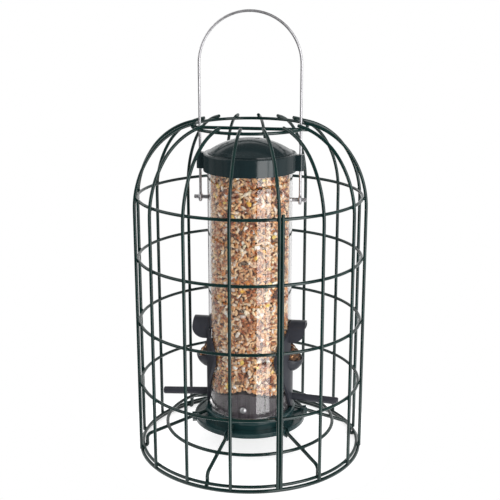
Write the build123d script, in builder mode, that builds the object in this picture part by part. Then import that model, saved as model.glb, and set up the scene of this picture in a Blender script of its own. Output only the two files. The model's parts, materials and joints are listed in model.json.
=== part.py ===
from build123d import *
from math import asin, atan, cos, pi, radians, sin, sqrt, tan
import os

os.makedirs("parts", exist_ok=True)

# A caged tube feeder: a clear seed tube on a tray, hung by a wire bail, inside a lift-off wire cage.
# The origin is on the floor under the tube's axis, +Z is up and X runs along the perches.
# All lengths are millimetres.

# Fits and gaps
running_gap = 0.3  # between bodies that slide past or rest on each other
weld_gap = 0.05  # between wires that are welded together
seat_gap = 0.08  # between pieces that are pushed or clamped together
overrun = 2.0  # how far a cut runs past the faces it opens

# Wires of the cage
cage_diameter = 179.8
bar_wire = 2.5
hoop_wire = 2.4
bar_count = 16
bar_tail = 1.2  # a bar runs this far below the lowest hoop's centre
bar_nose = 2.0  # and this far inward past the top ring's centre
dome_height = 63.0  # from the end of the straight bars up to the bars' crossing of the top ring
dome_lower_turn = 35.0  # degrees that the bars turn inward on their lower, wider arc
dome_full_turn = 78.0  # degrees that they have turned in all at the top ring
shoulder_hoop_rise = 7.6  # the topmost hoop stands this far above the end of the straight bars
hoop_height_shares = (0.0, 0.262, 0.512, 0.765, 1.0)  # of the height from lowest to topmost hoop
cross_bar_wire = 2.6
seam_bar_wire = 2.5
seam_bar_index = 13  # the bar that the seam bar lies beside
seam_bar_rise = 4.0  # above the topmost hoop

# Base frame
base_ring_wire = 2.8
base_ring_offset = 1.7  # the base ring stands this far outside the cage's hoops
spoke_wire = 2.8
spoke_count = 6
spoke_turn = -43.0  # degrees from +X to the first spoke
toe_bend = 2.0
knee_height = 11.0  # where a spoke's slope would meet its upright leg
knee_bend = 5.0
inner_ring_radius = 66.4
inner_ring_wire = 2.6

# Seed tray
tray_top_height = 33.4
tray_disc = 2.4
flange_overhang = 3.5  # past the tube's wall
flange_height = 3.5
flange_edge = 1.0
collar_inset = 1.0  # the collar stands inside the flange's edge
collar_wall = 3.4
gutter_width = 8.0
gutter_depth = 8.0  # from the tray's top to the gutter's floor
gutter_floor = 1.8
lip_width = 1.4
lip_rise = 0.9
lip_skirt = 1.0  # the lip hangs below the gutter's floor
lip_edge = 0.4
socket_depth = 1.4  # how far a spoke's end is let into the collar
spoke_drop = 4.1  # a spoke's end below the tray's top
clip_width = 5.4
clip_length = 5.2
clip_outreach = 2.2  # past the lip
clip_nose = 2.6  # below the lip
clip_head = 2.0  # above the spoke's axis at the lip
collar_hole = 2.4
collar_hole_drop = 4.9  # below the tray's top

# Plug in the foot of the tube
plug_height = 20.5  # at the ridge of its roof, which runs from front to back
plug_fall = 8.3  # the roof falls this much from the ridge to either side, towards the ports
plug_screw_bore_depth = 12.0

# Tray screw and washer
tray_screw_diameter = 4.0
tray_screw_length = 14.0
tray_screw_head = 7.4
tray_screw_head_height = 2.2
tray_washer_diameter = 12.0
tray_washer_thickness = 1.0
driver_slot = 1.0
driver_slot_depth = 1.1

# Seed tube
tube_diameter = 65.0
tube_wall = 1.8
tube_length = 200.6

# Screws through the tube into the plug
tube_screw_height = 7.2  # above the tube's foot
tube_screw_diameter = 2.4
tube_screw_length = 9.0
tube_screw_head = 5.2
tube_screw_dome = 1.5

# Feeding ports
plate_thickness = 1.8
plate_round = 23.5  # radius of the plate's upper end, seen straight on
plate_round_rise = 44.5  # its centre above the tube's foot
plate_tip_round = 8.0  # radius of the plate's lower end, round the perch
hood_radius = 12.0
hood_wall = 1.6
hood_reach = 12.0  # past the tube's wall
hood_top_rise = 72.0  # above the tube's foot
hood_cheek = 2.4  # straight cheek under the round of the hood
hood_corner = 9.5
cup_radius = 12.5
cup_wall = 1.5
cup_centre_inset = 1.8  # the bowl's centre lies inside the tube's outer face
cup_centre_rise = 42.3  # above the tube's foot
cup_rim_rise = 43.2  # the rim's height at the tube's outer face, above the tube's foot
cup_rim_fall = 3.0  # the rim falls this much to its tip
window_width = 14.0
window_low_rise = 35.6
window_high_rise = 64.0
window_corner = 5.0

# Perches
perch_diameter = 5.8
perch_reach = 38.6  # past the tube's wall
perch_rise = 8.3  # above the tube's foot, where the perch leaves the tube's wall
perch_slope = 3.1  # degrees, falling outward
perch_socket = 6.5  # how far a perch runs inside the tube's outer face
perch_edge = 1.2

# Seed
seed_headroom = 8.0  # between the seed's top and the tube's rim
heap_rise = 7.5  # cup seed above the rim at the port plate
seed_gap = 0.25
grain_round = 3.2  # radius of the larger seeds, which press against the tube's wall
grain_relief = 1.9  # and stand this far out of the small seed
grain_room = 0.08
grain_rise = 10.0  # from one row of them to the next

# Cross rod and bail
rod_diameter = 3.0
rod_drop = 31.8  # below the tube's rim
rod_tail = 4.8  # past each bail leg's centre
eye_gap = 0.12
bail_wire = 2.0
eye_wire = 2.2  # the wire is pressed a little thicker where it is bent into an eye
bail_rise = 84.0  # from the top ring up to the bail's apex, centre to centre

# Lid
lid_wall = 2.1
lid_clearance = 0.9  # between the skirt and the tube
lid_skirt = 9.8  # below the tube's rim
lid_shoulder = 3.4  # thickness over the tube's rim
lid_edge = 1.2
dome_inset = 3.4  # the lid's crown starts this far inside the skirt
crown_height = 11.0
crown_riser = 0.7  # upright edge at the crown's foot
ear_reach = 3.0  # from the skirt to the centre of the bail's leg
ear_round = 2.8
ear_drop = 9.4  # below the tube's rim
ear_rise = 2.9  # above it

# Clearances above and around the feeder
lid_headroom = 5.2  # between the lid's crown and the cross bar
ring_clearance = 2.6  # between the bail's legs and the top ring
ring_wire = 2.4
cross_bar_clearance = 0.9  # between the bail's legs and the cross bar

# Values worked out from the driving sizes
bar_radius = cage_diameter / 2 - bar_wire / 2
hoop_radius = bar_radius - bar_wire / 2 - weld_gap - hoop_wire / 2
leg_radius = hoop_radius - hoop_wire / 2 - running_gap - weld_gap - spoke_wire / 2
base_ring_radius = hoop_radius + base_ring_offset
base_ring_height = base_ring_wire / 2
lowest_hoop_height = base_ring_wire + running_gap + hoop_wire / 2

tube_radius = tube_diameter / 2
tube_bore = tube_radius - tube_wall
tube_foot = tray_top_height + seat_gap
tube_rim = tube_foot + tube_length

flange_radius = tube_radius + flange_overhang
collar_radius = flange_radius - collar_inset
collar_bore = collar_radius - collar_wall
lip_radius = collar_radius + gutter_width + lip_width
gutter_height = tray_top_height - gutter_depth
lip_top = gutter_height + lip_rise
lip_bottom = gutter_height - gutter_floor - lip_skirt

spoke_end_radius = collar_radius - socket_depth
spoke_end_height = tray_top_height - spoke_drop
spoke_slope = (spoke_end_height - knee_height) / (leg_radius - spoke_end_radius)
spoke_secant = sqrt(1 + spoke_slope**2)
spoke_angles = [spoke_turn + index * 360 / spoke_count for index in range(spoke_count)]

lid_radius = tube_radius + lid_clearance + lid_wall
lid_ceiling = tube_rim + running_gap
lid_top = lid_ceiling + lid_shoulder
crown_radius = lid_radius - dome_inset
crown_top = lid_top + crown_height
leg_offset = lid_radius + ear_reach

cross_bar_height = crown_top + lid_headroom + cross_bar_wire / 2
top_ring_height = cross_bar_height + cross_bar_wire / 2 + weld_gap + ring_wire / 2
top_ring_radius = leg_offset + bail_wire / 2 + ring_clearance + ring_wire / 2
cross_bar_shift = bail_wire / 2 + cross_bar_clearance + cross_bar_wire / 2
rod_height = tube_rim - rod_drop
bail_apex = top_ring_height + bail_rise

plate_inner_radius = tube_radius + seat_gap
plate_outer_radius = plate_inner_radius + plate_thickness
plate_round_height = tube_foot + plate_round_rise
hood_top = tube_foot + hood_top_rise
hood_spring = hood_top - hood_radius
hood_foot = hood_spring - hood_cheek
hood_tip = tube_radius + hood_reach
cup_centre_radius = tube_radius - cup_centre_inset
cup_centre_height = tube_foot + cup_centre_rise
cup_tip = cup_centre_radius + cup_radius
cup_rim_height = tube_foot + cup_rim_rise
cup_tip_height = cup_rim_height - cup_rim_fall
perch_height = tube_foot + perch_rise
plug_radius = tube_bore - seat_gap
plug_ridge = tube_foot + plug_height
plug_eave = plug_ridge - plug_fall * tube_radius / plug_radius  # the roof's height at the tube's outer face

# Dome of the cage: a wide lower arc and a tighter upper arc that meet the top ring
ring_to_bar = (ring_wire / 2 + weld_gap + bar_wire / 2) / sin(radians(dome_full_turn))
dome_ring_height = top_ring_height + ring_to_bar
straight_top = dome_ring_height - dome_height
low_cos = cos(radians(dome_lower_turn))
low_sin = sin(radians(dome_lower_turn))
full_cos = cos(radians(dome_full_turn))
full_sin = sin(radians(dome_full_turn))
dome_run = bar_radius - top_ring_radius
dome_span = low_sin * (low_cos - full_cos) - (1 - low_cos) * (full_sin - low_sin)
lower_arc = (dome_height * (low_cos - full_cos) - dome_run * (full_sin - low_sin)) / dome_span
upper_arc = (dome_run * low_sin - dome_height * (1 - low_cos)) / dome_span
topmost_hoop_height = straight_top + shoulder_hoop_rise


def radial_plane(angle):
    """Upright plane through the axis: its x runs outward at this angle, its y runs up."""
    outward = (cos(radians(angle)), sin(radians(angle)), 0)
    across = (sin(radians(angle)), -cos(radians(angle)), 0)
    return Plane(origin=(0, 0, 0), x_dir=outward, z_dir=across)


def facing_plane(angle, distance):
    """Upright plane at a distance from the axis that faces outward: its y runs up."""
    outward = Vector(cos(radians(angle)), sin(radians(angle)), 0)
    sideways = Vector(-sin(radians(angle)), cos(radians(angle)), 0)
    return Plane(origin=outward * distance, x_dir=sideways, z_dir=outward)


def bar_radius_at(height):
    """Radius of the bars' centre line at a height on the straight or on the lower arc."""
    rise = max(height - straight_top, 0)
    return bar_radius - lower_arc * (1 - cos(asin(rise / lower_arc)))


def spoke_height_at(radius):
    """Height of a spoke's centre line at a radius on its slope."""
    return spoke_end_height - (radius - spoke_end_radius) * spoke_slope


def perch_point(angle, radius):
    """Point on a perch's axis at a radius from the tube's axis."""
    height = perch_height + (tube_radius - radius) * tan(radians(perch_slope))
    return radial_plane(angle).from_local_coords((radius, height, 0))


def perch_plane(angle, radius):
    """Plane square to a perch's axis at a radius, facing outward."""
    start = perch_point(angle, radius)
    return Plane(origin=start, z_dir=perch_point(angle, radius + perch_reach) - start)


def cap_height_at(radius, edge_radius, rise):
    """Height above its edge of a ball-shaped cap, at a radius from its axis."""
    ball = (edge_radius**2 + rise**2) / (2 * rise)
    return rise - ball + sqrt(ball**2 - radius**2)


def wire_ring(radius, height, wire):
    """A closed ring of round wire about the axis."""
    with BuildPart() as ring:
        with BuildSketch(Plane.XZ):
            with Locations((radius, height)):
                Circle(wire / 2)
        revolve(axis=Axis.Z)
    return ring.part


def keep(part, name):
    """Label a finished piece and write it out."""
    part.label = name
    export_step(part, f"parts/{name}.step")


# Base ring: the feeder stands on it and the cage rests on it
keep(wire_ring(base_ring_radius, base_ring_height, base_ring_wire), "base_ring")

# Base spokes: from a toe on the base ring up an upright leg, then inward to a socket in the tray's collar
for number, angle in enumerate(spoke_angles, start=1):
    with BuildPart() as base_spoke:
        with BuildLine(radial_plane(angle)) as spoke_line:
            FilletPolyline(
                (base_ring_radius - base_ring_wire / 2 - weld_gap, base_ring_height),
                (leg_radius, base_ring_height),
                (leg_radius, knee_height),
                (spoke_end_radius, spoke_end_height),
                radius=[toe_bend, knee_bend],
            )
        with BuildSketch(Plane(origin=spoke_line.line @ 0, z_dir=spoke_line.line % 0)):
            Circle(spoke_wire / 2)
        sweep(path=spoke_line.line)
    keep(base_spoke.part, f"base_spoke_{number}")

# Inner ring: welded on top of the spokes
spoke_to_ring = (spoke_wire / 2 + weld_gap + inner_ring_wire / 2) * spoke_secant
inner_ring_height = spoke_height_at(inner_ring_radius) + spoke_to_ring
keep(wire_ring(inner_ring_radius, inner_ring_height, inner_ring_wire), "base_inner_ring")

# Seed tray: a disc under the tube, a collar, a gutter with a lip, and a clip over each spoke
disc_bottom = tray_top_height - tray_disc
flange_bottom = tray_top_height - flange_height
floor_bottom = gutter_height - gutter_floor
lip_inner = lip_radius - lip_width
spoke_at_lip = spoke_height_at(lip_radius)
clip_inner = lip_radius + clip_outreach - clip_length
spoke_bore = spoke_wire / 2 + seat_gap
with BuildPart() as seed_tray:
    with BuildSketch(Plane.XZ) as tray_section:
        with BuildLine():
            Polyline(
                (0, tray_top_height),
                (flange_radius, tray_top_height),
                (flange_radius, flange_bottom),
                (collar_radius, flange_bottom),
                (collar_radius, gutter_height),
                (lip_inner, gutter_height),
                (lip_inner, lip_top),
                (lip_radius, lip_top),
                (lip_radius, lip_bottom),
                (lip_inner, lip_bottom),
                (lip_inner, floor_bottom),
                (collar_bore, floor_bottom),
                (collar_bore, disc_bottom),
                (0, disc_bottom),
                (0, tray_top_height),
            )
        make_face()
        rim_corners = tray_section.vertices().group_by(Axis.X)[-1]
        fillet(rim_corners, radius=lip_edge)
        flange_corner = tray_section.vertices().group_by(Axis.Y)[-1].sort_by(Axis.X)[-1]
        fillet(flange_corner, radius=flange_edge)
    revolve(axis=Axis.Z)
    for angle in spoke_angles:
        with BuildSketch(facing_plane(angle, clip_inner)):
            with BuildLine():
                Polyline(
                    (-clip_width / 2, spoke_at_lip + clip_head),
                    (-clip_width / 2, lip_bottom),
                    (0, lip_bottom - clip_nose),
                    (clip_width / 2, lip_bottom),
                    (clip_width / 2, spoke_at_lip + clip_head),
                    (-clip_width / 2, spoke_at_lip + clip_head),
                )
            make_face()
        extrude(amount=clip_length)
    for angle in spoke_angles:
        clip_outer = clip_inner + clip_length + overrun
        spoke_start = radial_plane(angle).from_local_coords((clip_outer, spoke_height_at(clip_outer), 0))
        spoke_end = radial_plane(angle).from_local_coords((spoke_end_radius, spoke_end_height, 0))
        spoke_run = Plane(
            origin=spoke_start,
            x_dir=facing_plane(angle, 0).x_dir,
            z_dir=spoke_end - spoke_start,
        )
        with BuildSketch(spoke_run):
            Circle(spoke_bore)
        extrude(amount=(spoke_end - spoke_start).length + seat_gap, mode=Mode.SUBTRACT)
        with BuildSketch(facing_plane(angle, lip_inner - overrun)):
            with Locations((0, spoke_at_lip)):
                Rectangle(2 * spoke_bore, clip_head + overrun, align=(Align.CENTER, Align.MIN))
        extrude(amount=clip_length + 2 * overrun, mode=Mode.SUBTRACT)
    for angle in (0, 180):
        with BuildSketch(facing_plane(angle, collar_bore - overrun)):
            with Locations((0, tray_top_height - collar_hole_drop)):
                Circle(collar_hole / 2)
        extrude(amount=collar_wall + 2 * overrun, mode=Mode.SUBTRACT)
    with BuildSketch(Plane.XY.offset(tray_top_height + overrun)):
        Circle(tray_screw_diameter / 2 + seat_gap)
    extrude(amount=-(tray_disc + 2 * overrun), mode=Mode.SUBTRACT)
keep(seed_tray.part, "seed_tray")

# Washer and screw that hold the tray to the plug from below
washer_top = disc_bottom - seat_gap
with BuildPart() as tray_washer:
    with BuildSketch(Plane.XY.offset(washer_top)):
        Circle(tray_washer_diameter / 2)
        Circle(tray_screw_diameter / 2 + seat_gap, mode=Mode.SUBTRACT)
    extrude(amount=-tray_washer_thickness)
keep(tray_washer.part, "tray_washer")

head_top = washer_top - tray_washer_thickness - seat_gap
with BuildPart() as tray_screw:
    with BuildSketch(Plane.XY.offset(head_top)):
        Circle(tray_screw_head / 2)
    extrude(amount=-tray_screw_head_height)
    head_rim = tray_screw.edges().group_by(Axis.Z)[0]
    fillet(head_rim, radius=tray_screw_head_height / 3)
    with BuildSketch(Plane.XY.offset(head_top - tray_screw_head_height)):
        Rectangle(tray_screw_head / 2, driver_slot)
        Rectangle(driver_slot, tray_screw_head / 2)
    extrude(amount=driver_slot_depth, mode=Mode.SUBTRACT)
    with BuildSketch(Plane.XY.offset(head_top)):
        Circle(tray_screw_diameter / 2)
    extrude(amount=tray_screw_length)
keep(tray_screw.part, "tray_screw")

# Plug: closes the tube's foot, takes the tray screw, the tube's screws and the perches, and its roof leads
# the seed to the ports' sides
screw_height = tube_foot + tube_screw_height
with BuildPart() as base_plug:
    with BuildSketch(Plane.XY.offset(tube_foot)):
        Circle(plug_radius)
    extrude(amount=plug_height + overrun)
    with BuildSketch(Plane.XZ):
        with BuildLine():
            Polyline(
                (-tube_radius, plug_eave),
                (0, plug_ridge),
                (tube_radius, plug_eave),
                (tube_radius, plug_ridge + 2 * overrun),
                (-tube_radius, plug_ridge + 2 * overrun),
                (-tube_radius, plug_eave),
            )
        make_face()
    extrude(amount=tube_radius, both=True, mode=Mode.SUBTRACT)
    with BuildSketch(Plane.XY.offset(tube_foot)):
        Circle(tray_screw_diameter / 2 + seat_gap)
    extrude(amount=plug_screw_bore_depth, mode=Mode.SUBTRACT)
    for angle in (-90, 90):
        with BuildSketch(facing_plane(angle, tube_radius - tube_screw_length - seat_gap)):
            with Locations((0, screw_height)):
                Circle(tube_screw_diameter / 2 + seat_gap)
        extrude(amount=tube_screw_length, mode=Mode.SUBTRACT)
    for angle in (0, 180):
        with BuildSketch(perch_plane(angle, tube_radius - perch_socket - seat_gap)):
            Circle(perch_diameter / 2 + seat_gap)
        extrude(amount=perch_socket + overrun, mode=Mode.SUBTRACT)
keep(base_plug.part, "base_plug")

# Seed tube: clear, with a window behind each port and holes for the rod, screws and perches
window_height = window_high_rise - window_low_rise
window_centre = tube_foot + (window_high_rise + window_low_rise) / 2
with BuildPart() as seed_tube:
    with BuildSketch(Plane.XY.offset(tube_foot)):
        Circle(tube_radius)
        Circle(tube_bore, mode=Mode.SUBTRACT)
    extrude(amount=tube_length)
    for angle in (0, 180):
        with BuildSketch(facing_plane(angle, 0)):
            with Locations((0, window_centre)):
                RectangleRounded(window_width, window_height, window_corner)
            with Locations((0, rod_height)):
                Circle(rod_diameter / 2 + seat_gap)
        extrude(amount=tube_radius + overrun, mode=Mode.SUBTRACT)
        with BuildSketch(perch_plane(angle, tube_bore - overrun)):
            Circle(perch_diameter / 2 + seat_gap)
        extrude(amount=tube_wall + 2 * overrun, mode=Mode.SUBTRACT)
    for angle in (-90, 90):
        with BuildSketch(facing_plane(angle, 0)):
            with Locations((0, screw_height)):
                Circle(tube_screw_diameter / 2 + seat_gap)
        extrude(amount=tube_radius + overrun, mode=Mode.SUBTRACT)
keep(seed_tube.part, "seed_tube")

# Domed screws, front and back, through the tube's wall into the plug
head_inner = tube_radius + seat_gap
head_middle = cap_height_at(tube_screw_head / 4, tube_screw_head / 2, tube_screw_dome)
with BuildPart() as tube_screws:
    with BuildSketch(radial_plane(-90)):
        with BuildLine():
            Polyline(
                (head_inner + tube_screw_dome, screw_height),
                (tube_radius - tube_screw_length, screw_height),
                (tube_radius - tube_screw_length, screw_height + tube_screw_diameter / 2),
                (head_inner, screw_height + tube_screw_diameter / 2),
                (head_inner, screw_height + tube_screw_head / 2),
            )
            ThreePointArc(
                (head_inner, screw_height + tube_screw_head / 2),
                (head_inner + head_middle, screw_height + tube_screw_head / 4),
                (head_inner + tube_screw_dome, screw_height),
            )
        make_face()
    revolve(axis=Axis((0, 0, screw_height), (0, -1, 0)))
    mirror(about=Plane.XZ)
keep(tube_screws.part, "tube_screws")


def feed_port(angle):
    """One moulded port: a drop-shaped saddle plate with a hood over a scooped cup."""
    with BuildPart() as saddle:
        with BuildSketch(facing_plane(angle, 0)):
            with Locations((0, plate_round_height)):
                Circle(plate_round)
            with Locations((0, perch_height)):
                Circle(plate_tip_round)
            make_hull()
        extrude(amount=plate_outer_radius + overrun)
        with BuildSketch(Plane.XY.offset(tube_foot - overrun)):
            Circle(plate_outer_radius)
        extrude(amount=tube_length, mode=Mode.INTERSECT)
    with BuildPart() as cup:
        cup_centre = radial_plane(angle).from_local_coords((cup_centre_radius, cup_centre_height, 0))
        with Locations(cup_centre):
            Sphere(cup_radius)
            Sphere(cup_radius - cup_wall, mode=Mode.SUBTRACT)
        with BuildSketch(radial_plane(angle)):
            with BuildLine():
                Polyline(
                    (0, cup_rim_height),
                    (tube_radius, cup_rim_height),
                    (cup_tip, cup_tip_height),
                    (cup_tip + overrun, cup_tip_height),
                    (cup_tip + overrun, cup_rim_height + cup_radius + overrun),
                    (0, cup_rim_height + cup_radius + overrun),
                    (0, cup_rim_height),
                )
            make_face()
        extrude(amount=cup_radius + overrun, both=True, mode=Mode.SUBTRACT)
    with BuildPart() as port:
        inner_hood = hood_radius - hood_wall
        with BuildSketch(facing_plane(angle, cup_centre_radius - hood_wall)):
            with Locations((0, hood_spring)):
                Circle(hood_radius)
                Rectangle(2 * hood_radius, hood_cheek, align=(Align.CENTER, Align.MAX))
                Circle(inner_hood, mode=Mode.SUBTRACT)
            with Locations((0, hood_foot)):
                Rectangle(2 * inner_hood, hood_cheek, align=(Align.CENTER, Align.MIN), mode=Mode.SUBTRACT)
                Rectangle(
                    2 * hood_radius + overrun,
                    hood_radius,
                    align=(Align.CENTER, Align.MAX),
                    mode=Mode.SUBTRACT,
                )
        extrude(amount=hood_tip - cup_centre_radius + hood_wall)
        with BuildSketch(radial_plane(angle)):
            with Locations((hood_tip, hood_foot)):
                Rectangle(2 * hood_corner, 2 * hood_corner)
            with Locations((hood_tip - hood_corner, hood_foot + hood_corner)):
                Circle(hood_corner, mode=Mode.SUBTRACT)
        extrude(amount=hood_radius + overrun, both=True, mode=Mode.SUBTRACT)
        add(cup.part)
        add(saddle.part)
        with BuildSketch(Plane.XY.offset(tube_foot - overrun)):
            Circle(plate_inner_radius)
        extrude(amount=tube_length, mode=Mode.SUBTRACT)
        with BuildSketch(facing_plane(angle, 0)):
            with Locations((0, window_centre)):
                RectangleRounded(window_width, window_height, window_corner)
        extrude(amount=plate_outer_radius + seat_gap, mode=Mode.SUBTRACT)
        with BuildSketch(perch_plane(angle, tube_bore)):
            Circle(perch_diameter / 2 + seat_gap)
        extrude(amount=plate_outer_radius - tube_bore + overrun, mode=Mode.SUBTRACT)
    return port.part


keep(feed_port(0), "port_right")
keep(feed_port(180), "port_left")

# Perches: pegs through plate and tube into the plug, falling a little outward
for side, angle in (("right", 0), ("left", 180)):
    with BuildPart() as perch:
        with BuildSketch(perch_plane(angle, tube_radius - perch_socket)):
            Circle(perch_diameter / 2)
        extrude(amount=(perch_socket + perch_reach) / cos(radians(perch_slope)))
        outward = Axis((0, 0, 0), radial_plane(angle).x_dir)
        tip = perch.faces().filter_by(GeomType.PLANE).sort_by(outward)[-1]
        fillet(tip.edges(), radius=perch_edge)
    keep(perch.part, f"perch_{side}")

# Seed in the tube, round the cross rod: staggered rows of larger seeds stand out against the tube's wall
seed_ridge = plug_ridge + seed_gap
seed_eave = plug_eave + seed_gap
seed_top = tube_rim - seed_headroom
seed_radius = tube_bore - seed_gap
fill_radius = seed_radius - grain_relief
grain_half = sqrt(grain_round**2 - (grain_round - grain_relief) ** 2)
grains_in_row = int(pi / atan((grain_half + grain_room) / fill_radius) / 2)
grain_turn = 180 / grains_in_row
grain_rows = int((seed_top - seed_ridge) / grain_rise)
with BuildPart() as seeds_in_tube:
    with BuildSketch(Plane.XY.offset(seed_eave)):
        RegularPolygon(fill_radius, 2 * grains_in_row, major_radius=False, rotation=grain_turn / 2)
    extrude(amount=seed_top - seed_eave)
    with BuildSketch(Plane.XZ):
        with BuildLine():
            Polyline(
                (-tube_radius, seed_eave),
                (0, seed_ridge),
                (tube_radius, seed_eave),
                (tube_radius, seed_eave - overrun),
                (-tube_radius, seed_eave - overrun),
                (-tube_radius, seed_eave),
            )
        make_face()
    extrude(amount=tube_radius, both=True, mode=Mode.SUBTRACT)
    for row in range(grain_rows):
        row_height = seed_ridge + (seed_top - seed_ridge) * (row + 0.5) / grain_rows
        row_turn = grain_turn * (row % 2)
        with Locations((0, 0, row_height)):
            with PolarLocations(seed_radius - grain_round, grains_in_row, start_angle=row_turn):
                Sphere(grain_round, rotation=(0, 0, 180))
    with BuildSketch(Plane.YZ):
        with Locations((0, rod_height)):
            Circle(rod_diameter / 2 + seed_gap)
    extrude(amount=tube_radius, both=True, mode=Mode.SUBTRACT)
keep(seeds_in_tube.part, "seeds_in_tube")

# Seed in the cups, heaped against the port plate
for side, angle in (("right", 0), ("left", 180)):
    with BuildPart() as cup_seed:
        seed_bowl = cup_radius - cup_wall - seed_gap
        with Locations(radial_plane(angle).from_local_coords((cup_centre_radius, cup_centre_height, 0))):
            Sphere(seed_bowl)
        with BuildSketch(radial_plane(angle)):
            with BuildLine():
                Polyline(
                    (0, cup_rim_height + heap_rise),
                    (plate_outer_radius, cup_rim_height + heap_rise),
                    (cup_tip - cup_wall, cup_tip_height),
                    (cup_tip + overrun, cup_tip_height),
                    (cup_tip + overrun, cup_rim_height + 2 * cup_radius),
                    (0, cup_rim_height + 2 * cup_radius),
                    (0, cup_rim_height + heap_rise),
                )
            make_face()
        extrude(amount=cup_radius + overrun, both=True, mode=Mode.SUBTRACT)
        with BuildSketch(Plane.XY.offset(tube_foot)):
            Circle(plate_outer_radius + seed_gap)
        extrude(amount=tube_length, mode=Mode.SUBTRACT)
    keep(cup_seed.part, f"seeds_{side}_cup")

# Cross rod: through the tube, carries the bail's eyes
with BuildPart() as cross_rod:
    with BuildSketch(Plane.YZ):
        with Locations((0, rod_height)):
            Circle(rod_diameter / 2)
    extrude(amount=leg_offset + rod_tail, both=True)
keep(cross_rod.part, "cross_rod")

# Bail: two upright legs joined by a half circle, with an eye on the rod at each foot
eye_radius = rod_diameter / 2 + eye_gap + eye_wire / 2
arch_spring = bail_apex - leg_offset
with BuildPart() as bail:
    with BuildLine(Plane.XZ) as bail_line:
        Line((-leg_offset, rod_height + eye_radius), (-leg_offset, arch_spring))
        ThreePointArc((-leg_offset, arch_spring), (0, bail_apex), (leg_offset, arch_spring))
        Line((leg_offset, arch_spring), (leg_offset, rod_height + eye_radius))
    with BuildSketch(Plane.XY.offset(rod_height + eye_radius)):
        with Locations((-leg_offset, 0)):
            Circle(bail_wire / 2)
    sweep(path=bail_line.line)
    for side in (-1, 1):
        with BuildSketch(Plane.XZ):
            with Locations((side * leg_offset, rod_height + eye_radius)):
                Circle(eye_wire / 2)
        revolve(axis=Axis((0, 0, rod_height), (1, 0, 0)))
keep(bail.part, "bail")

# Lid: a skirt over the tube, a domed crown, and two bored ears that slide on the bail's legs
skirt_bottom = tube_rim - lid_skirt
skirt_bore = tube_radius + lid_clearance
ceiling_radius = tube_bore - seat_gap


def crown_point(radius):
    """Point on the crown's surface at a radius."""
    return radius, lid_top + crown_riser + cap_height_at(radius, crown_radius, crown_height - crown_riser)


def ceiling_point(radius):
    """Point on the lid's domed ceiling at a radius."""
    return radius, lid_ceiling + cap_height_at(radius, ceiling_radius, crown_height - lid_wall)


with BuildPart() as lid:
    with BuildSketch(Plane.XZ) as lid_section:
        with BuildLine():
            ThreePointArc(crown_point(0), crown_point(crown_radius / 2), crown_point(crown_radius))
            Polyline(
                crown_point(crown_radius),
                (crown_radius, lid_top),
                (lid_radius, lid_top),
                (lid_radius, skirt_bottom),
                (skirt_bore, skirt_bottom),
                (skirt_bore, lid_ceiling),
                ceiling_point(ceiling_radius),
            )
            ceiling_middle = ceiling_point(ceiling_radius / 2)
            ThreePointArc(ceiling_point(ceiling_radius), ceiling_middle, ceiling_point(0))
            Line(ceiling_point(0), crown_point(0))
        make_face()
        edge_corner = lid_section.vertices().group_by(Axis.X)[-1].sort_by(Axis.Y)[-1]
        fillet(edge_corner, radius=lid_edge)
    revolve(axis=Axis.Z)
    leg_bore = bail_wire / 2 + running_gap
    for side in (-1, 1):
        with BuildSketch(Plane.XY.offset(tube_rim - ear_drop)):
            with Locations((side * leg_offset, 0)):
                Circle(ear_round)
            with Locations((side * (lid_radius - lid_wall / 2), 0)):
                ear_side = Align.MIN if side > 0 else Align.MAX
                Rectangle(ear_reach + lid_wall / 2, 2 * ear_round, align=(ear_side, Align.CENTER))
        extrude(amount=ear_drop + ear_rise)
    for side in (-1, 1):
        with BuildSketch(Plane.XY.offset(tube_rim - ear_drop - overrun)):
            with Locations((side * leg_offset, 0)):
                Circle(leg_bore)
        extrude(amount=ear_drop + ear_rise + 2 * overrun, mode=Mode.SUBTRACT)
keep(lid.part, "lid")

# Cage bars: straight sides, then the dome, lying on top of the ring
for index in range(bar_count):
    with BuildPart() as cage_bar:
        with BuildLine(radial_plane(index * 360 / bar_count)) as bar_line:
            arc_join = (bar_radius - lower_arc * (1 - low_cos), straight_top + lower_arc * low_sin)
            half_low = radians(dome_lower_turn / 2)
            half_full = radians((dome_lower_turn + dome_full_turn) / 2)
            upper_centre = (arc_join[0] - upper_arc * low_cos, arc_join[1] - upper_arc * low_sin)
            upper_middle = (
                upper_centre[0] + upper_arc * cos(half_full),
                upper_centre[1] + upper_arc * sin(half_full),
            )
            Line((bar_radius, lowest_hoop_height - bar_tail), (bar_radius, straight_top))
            ThreePointArc(
                (bar_radius, straight_top),
                (bar_radius - lower_arc * (1 - cos(half_low)), straight_top + lower_arc * sin(half_low)),
                arc_join,
            )
            ThreePointArc(
                arc_join,
                upper_middle,
                (top_ring_radius, dome_ring_height),
            )
            Line(
                (top_ring_radius, dome_ring_height),
                (top_ring_radius - bar_nose * full_sin, dome_ring_height + bar_nose * full_cos),
            )
        with BuildSketch(Plane(origin=bar_line.line @ 0, z_dir=bar_line.line % 0)):
            Circle(bar_wire / 2)
        sweep(path=bar_line.line)
    keep(cage_bar.part, f"cage_bar_{index + 1}")

# Seam bar: a second straight bar beside one of the others, where the rolled mesh closes
seam_turn = (bar_wire / 2 + seam_bar_wire / 2 + weld_gap) / bar_radius
seam_angle = radians(seam_bar_index * 360 / bar_count) + seam_turn
seam_radius = bar_radius_at(topmost_hoop_height + seam_bar_rise)
with BuildPart() as cage_seam_bar:
    with BuildSketch(Plane.XY.offset(lowest_hoop_height - bar_tail)):
        with Locations((bar_radius * cos(seam_angle), bar_radius * sin(seam_angle))):
            Circle(seam_bar_wire / 2)
    extrude(amount=topmost_hoop_height + seam_bar_rise - lowest_hoop_height + bar_tail)
keep(cage_seam_bar.part, "cage_seam_bar")

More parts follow.
